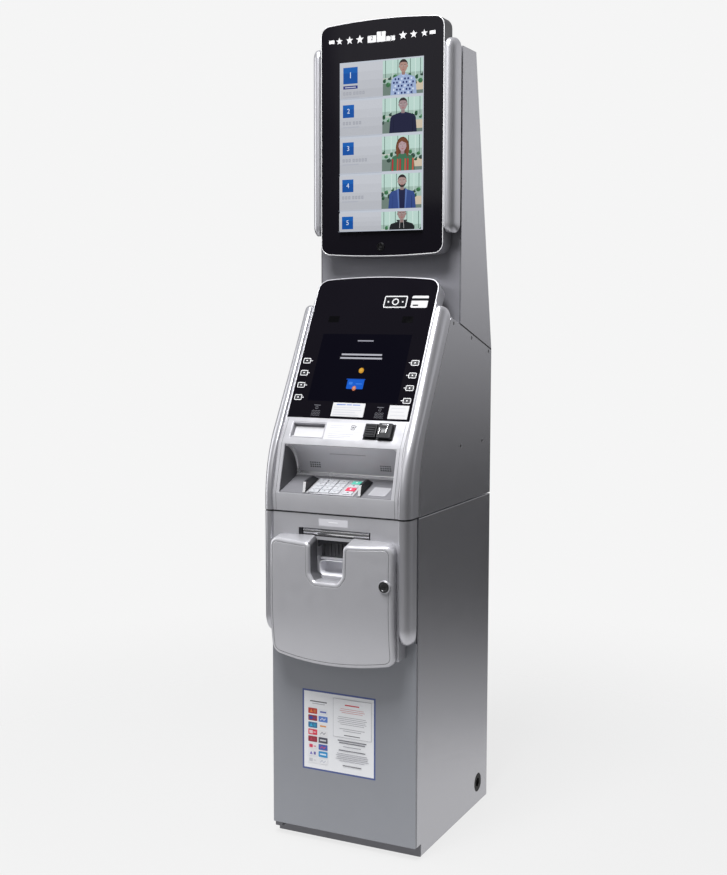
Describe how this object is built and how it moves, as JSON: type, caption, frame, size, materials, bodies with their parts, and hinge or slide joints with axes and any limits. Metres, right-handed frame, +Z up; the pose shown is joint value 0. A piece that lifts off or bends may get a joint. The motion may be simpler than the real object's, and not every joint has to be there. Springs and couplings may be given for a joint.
{
  "type": "cash machine",
  "caption": "Slim free-standing cash machine: steel vault with a hinged door and bulged access cover, leaning screen fascia with keypad recess, and a tall portrait sign display above.",
  "frame": {"origin": "centre of the overall box at floor level", "axes": "+Z up, -Y towards the customer, +X to the customer's right"},
  "size_m": [0.4, 0.583, 2.076],
  "materials": {
    "cabinet_paint": "satin textured powder coat",
    "door_paint": "satin powder coat",
    "foot_paint": "matt powder coat",
    "silver_plastic": "satin silver lacquer",
    "grey_plastic": "fine grained grey",
    "steel": "zinc plated",
    "rubber_black": "matt",
    "black_plastic": "fine grained black",
    "lock_steel": "dark nickel",
    "black_glass": "gloss black back-printed",
    "display": "lit liquid crystal panel",
    "function_key_plastic": "black with pale ring",
    "key_steel": "satin",
    "key_green": "satin green",
    "key_red": "satin red"
  },
  "bodies": {
    "cabinet": {"plinth": "foot_paint", "vault_shell": "cabinet_paint", "dispenser_chassis": "steel", "dispenser_rollers": "rubber_black", "upper_shell": "cabinet_paint", "shell_screws": "lock_steel", "pc_module": "steel", "topper_shell": "cabinet_paint", "power_inlet": "black_plastic", "cable_grommet": "rubber_black", "hinge_pins": "steel"},
    "cassette": {"cash_cassette": "black_plastic"},
    "vault_door": {"vault_door": "door_paint", "lower_fascia": "silver_plastic", "lower_bumpers": "silver_plastic", "cash_pocket": "steel", "lock_case": "steel"},
    "shutter": {"cash_shutter": "steel"},
    "dial": {"combination_dial": "black_plastic"},
    "handle": {"bolt_handle": "steel"},
    "bolts": {"door_bolts": "steel"},
    "access_cover": {"access_cover": "silver_plastic"},
    "cover_lock": {"cover_lock": "lock_steel"},
    "fascia": {"fascia_frame": "silver_plastic", "fascia_bumpers": "silver_plastic", "screen_glass": "black_glass", "lcd_panel": "display", "keypad_housing": "grey_plastic", "keypad_shields": "black_plastic", "card_reader": "black_plastic", "receipt_printer": "silver_plastic"},
    "sign_panel": {"topper_frame": "black_plastic", "topper_glass": "black_glass", "topper_lcd": "display", "topper_bumpers": "silver_plastic"},
    "sign_lock": {"topper_lock": "lock_steel"},
    "function_key_l1": {"function_key_l1": "function_key_plastic"},
    "function_key_l2": {"function_key_l2": "function_key_plastic"},
    "function_key_l3": {"function_key_l3": "function_key_plastic"},
    "function_key_l4": {"function_key_l4": "function_key_plastic"},
    "function_key_r1": {"function_key_r1": "function_key_plastic"},
    "function_key_r2": {"function_key_r2": "function_key_plastic"},
    "function_key_r3": {"function_key_r3": "function_key_plastic"},
    "function_key_r4": {"function_key_r4": "function_key_plastic"},
    "key_11": {"key_11": "key_steel"},
    "key_12": {"key_12": "key_steel"},
    "key_13": {"key_13": "key_steel"},
    "key_14": {"key_14": "key_green"},
    "key_21": {"key_21": "key_steel"},
    "key_22": {"key_22": "key_steel"},
    "key_23": {"key_23": "key_steel"},
    "key_24": {"key_24": "key_steel"},
    "key_31": {"key_31": "key_steel"},
    "key_32": {"key_32": "key_steel"},
    "key_33": {"key_33": "key_steel"},
    "key_34": {"key_34": "key_red"},
    "key_41": {"key_41": "key_steel"},
    "key_42": {"key_42": "key_steel"},
    "key_43": {"key_43": "key_steel"},
    "key_44": {"key_44": "key_steel"}
  },
  "joints": [
    {"name": "vault_door_swing", "type": "hinge", "parent": "cabinet", "child": "vault_door", "pos_m": [-0.19, -0.186, 0.44], "axis": [0, 0, -1], "range_deg": [0, 105]},
    {"name": "access_cover_swing", "type": "hinge", "parent": "vault_door", "child": "access_cover", "pos_m": [-0.163, -0.2575, 0.653], "axis": [0, 0, -1], "range_deg": [0, 90]},
    {"name": "fascia_lift", "type": "hinge", "parent": "cabinet", "child": "fascia", "pos_m": [0, 0.0585, 1.404], "axis": [-1, 0, 0], "range_deg": [0, 60]},
    {"name": "sign_panel_lift", "type": "hinge", "parent": "cabinet", "child": "sign_panel", "pos_m": [0, 0.0645, 2.006], "axis": [-1, 0, 0], "range_deg": [0, 70]},
    {"name": "cassette_slide", "type": "slide", "parent": "cabinet", "child": "cassette", "axis": [0, -1, 0], "range_m": [0, 0.028]},
    {"name": "shutter_slide", "type": "slide", "parent": "vault_door", "child": "shutter", "axis": [0, 0, 1], "range_m": [0, 0.018]},
    {"name": "dial_spin", "type": "hinge", "parent": "vault_door", "child": "dial", "pos_m": [0.062, -0.2115, 0.598], "axis": [0, -1, 0], "continuous": true},
    {"name": "handle_turn", "type": "hinge", "parent": "vault_door", "child": "handle", "pos_m": [-0.07, -0.2115, 0.598], "axis": [0, -1, 0], "range_deg": [0, 90]},
    {"name": "bolts_slide", "type": "slide", "parent": "vault_door", "child": "bolts", "axis": [1, 0, 0], "range_m": [0, 0.018]},
    {"name": "cover_lock_turn", "type": "hinge", "parent": "access_cover", "child": "cover_lock", "pos_m": [0.149, -0.2715, 0.695], "axis": [0, 1, 0], "range_deg": [0, 90]},
    {"name": "sign_lock_turn", "type": "hinge", "parent": "sign_panel", "child": "sign_lock", "pos_m": [0, 0.0235, 1.507], "axis": [0, 1, 0], "range_deg": [0, 90]},
    {"name": "function_key_l1_press", "type": "slide", "parent": "fascia", "child": "function_key_l1", "axis": [0, 0.8821, -0.471], "range_m": [0, 0.001], "stiffness_N_per_m": 500, "springref_m": -0.001},
    {"name": "function_key_l2_press", "type": "slide", "parent": "fascia", "child": "function_key_l2", "axis": [0, 0.8821, -0.471], "range_m": [0, 0.001], "stiffness_N_per_m": 500, "springref_m": -0.001},
    {"name": "function_key_l3_press", "type": "slide", "parent": "fascia", "child": "function_key_l3", "axis": [0, 0.8821, -0.471], "range_m": [0, 0.001], "stiffness_N_per_m": 500, "springref_m": -0.001},
    {"name": "function_key_l4_press", "type": "slide", "parent": "fascia", "child": "function_key_l4", "axis": [0, 0.8821, -0.471], "range_m": [0, 0.001], "stiffness_N_per_m": 500, "springref_m": -0.001},
    {"name": "function_key_r1_press", "type": "slide", "parent": "fascia", "child": "function_key_r1", "axis": [0, 0.8821, -0.471], "range_m": [0, 0.001], "stiffness_N_per_m": 500, "springref_m": -0.001},
    {"name": "function_key_r2_press", "type": "slide", "parent": "fascia", "child": "function_key_r2", "axis": [0, 0.8821, -0.471], "range_m": [0, 0.001], "stiffness_N_per_m": 500, "springref_m": -0.001},
    {"name": "function_key_r3_press", "type": "slide", "parent": "fascia", "child": "function_key_r3", "axis": [0, 0.8821, -0.471], "range_m": [0, 0.001], "stiffness_N_per_m": 500, "springref_m": -0.001},
    {"name": "function_key_r4_press", "type": "slide", "parent": "fascia", "child": "function_key_r4", "axis": [0, 0.8821, -0.471], "range_m": [0, 0.001], "stiffness_N_per_m": 500, "springref_m": -0.001},
    {"name": "key_11_press", "type": "slide", "parent": "fascia", "child": "key_11", "axis": [0, 0.3371, -0.9415], "range_m": [0, 0.0018], "stiffness_N_per_m": 800, "springref_m": -0.001},
    {"name": "key_12_press", "type": "slide", "parent": "fascia", "child": "key_12", "axis": [0, 0.3371, -0.9415], "range_m": [0, 0.0018], "stiffness_N_per_m": 800, "springref_m": -0.001},
    {"name": "key_13_press", "type": "slide", "parent": "fascia", "child": "key_13", "axis": [0, 0.3371, -0.9415], "range_m": [0, 0.0018], "stiffness_N_per_m": 800, "springref_m": -0.001},
    {"name": "key_14_press", "type": "slide", "parent": "fascia", "child": "key_14", "axis": [0, 0.3371, -0.9415], "range_m": [0, 0.0018], "stiffness_N_per_m": 800, "springref_m": -0.001},
    {"name": "key_21_press", "type": "slide", "parent": "fascia", "child": "key_21", "axis": [0, 0.3371, -0.9415], "range_m": [0, 0.0018], "stiffness_N_per_m": 800, "springref_m": -0.001},
    {"name": "key_22_press", "type": "slide", "parent": "fascia", "child": "key_22", "axis": [0, 0.3371, -0.9415], "range_m": [0, 0.0018], "stiffness_N_per_m": 800, "springref_m": -0.001},
    {"name": "key_23_press", "type": "slide", "parent": "fascia", "child": "key_23", "axis": [0, 0.3371, -0.9415], "range_m": [0, 0.0018], "stiffness_N_per_m": 800, "springref_m": -0.001},
    {"name": "key_24_press", "type": "slide", "parent": "fascia", "child": "key_24", "axis": [0, 0.3371, -0.9415], "range_m": [0, 0.0018], "stiffness_N_per_m": 800, "springref_m": -0.001},
    {"name": "key_31_press", "type": "slide", "parent": "fascia", "child": "key_31", "axis": [0, 0.3371, -0.9415], "range_m": [0, 0.0018], "stiffness_N_per_m": 800, "springref_m": -0.001},
    {"name": "key_32_press", "type": "slide", "parent": "fascia", "child": "key_32", "axis": [0, 0.3371, -0.9415], "range_m": [0, 0.0018], "stiffness_N_per_m": 800, "springref_m": -0.001},
    {"name": "key_33_press", "type": "slide", "parent": "fascia", "child": "key_33", "axis": [0, 0.3371, -0.9415], "range_m": [0, 0.0018], "stiffness_N_per_m": 800, "springref_m": -0.001},
    {"name": "key_34_press", "type": "slide", "parent": "fascia", "child": "key_34", "axis": [0, 0.3371, -0.9415], "range_m": [0, 0.0018], "stiffness_N_per_m": 800, "springref_m": -0.001},
    {"name": "key_41_press", "type": "slide", "parent": "fascia", "child": "key_41", "axis": [0, 0.3371, -0.9415], "range_m": [0, 0.0018], "stiffness_N_per_m": 800, "springref_m": -0.001},
    {"name": "key_42_press", "type": "slide", "parent": "fascia", "child": "key_42", "axis": [0, 0.3371, -0.9415], "range_m": [0, 0.0018], "stiffness_N_per_m": 800, "springref_m": -0.001},
    {"name": "key_43_press", "type": "slide", "parent": "fascia", "child": "key_43", "axis": [0, 0.3371, -0.9415], "range_m": [0, 0.0018], "stiffness_N_per_m": 800, "springref_m": -0.001},
    {"name": "key_44_press", "type": "slide", "parent": "fascia", "child": "key_44", "axis": [0, 0.3371, -0.9415], "range_m": [0, 0.0018], "stiffness_N_per_m": 800, "springref_m": -0.001}
  ],
  "couplings": [
    {"joint": "handle_turn", "follows": "bolts_slide", "rad_per_m": 87.2}
  ]
}
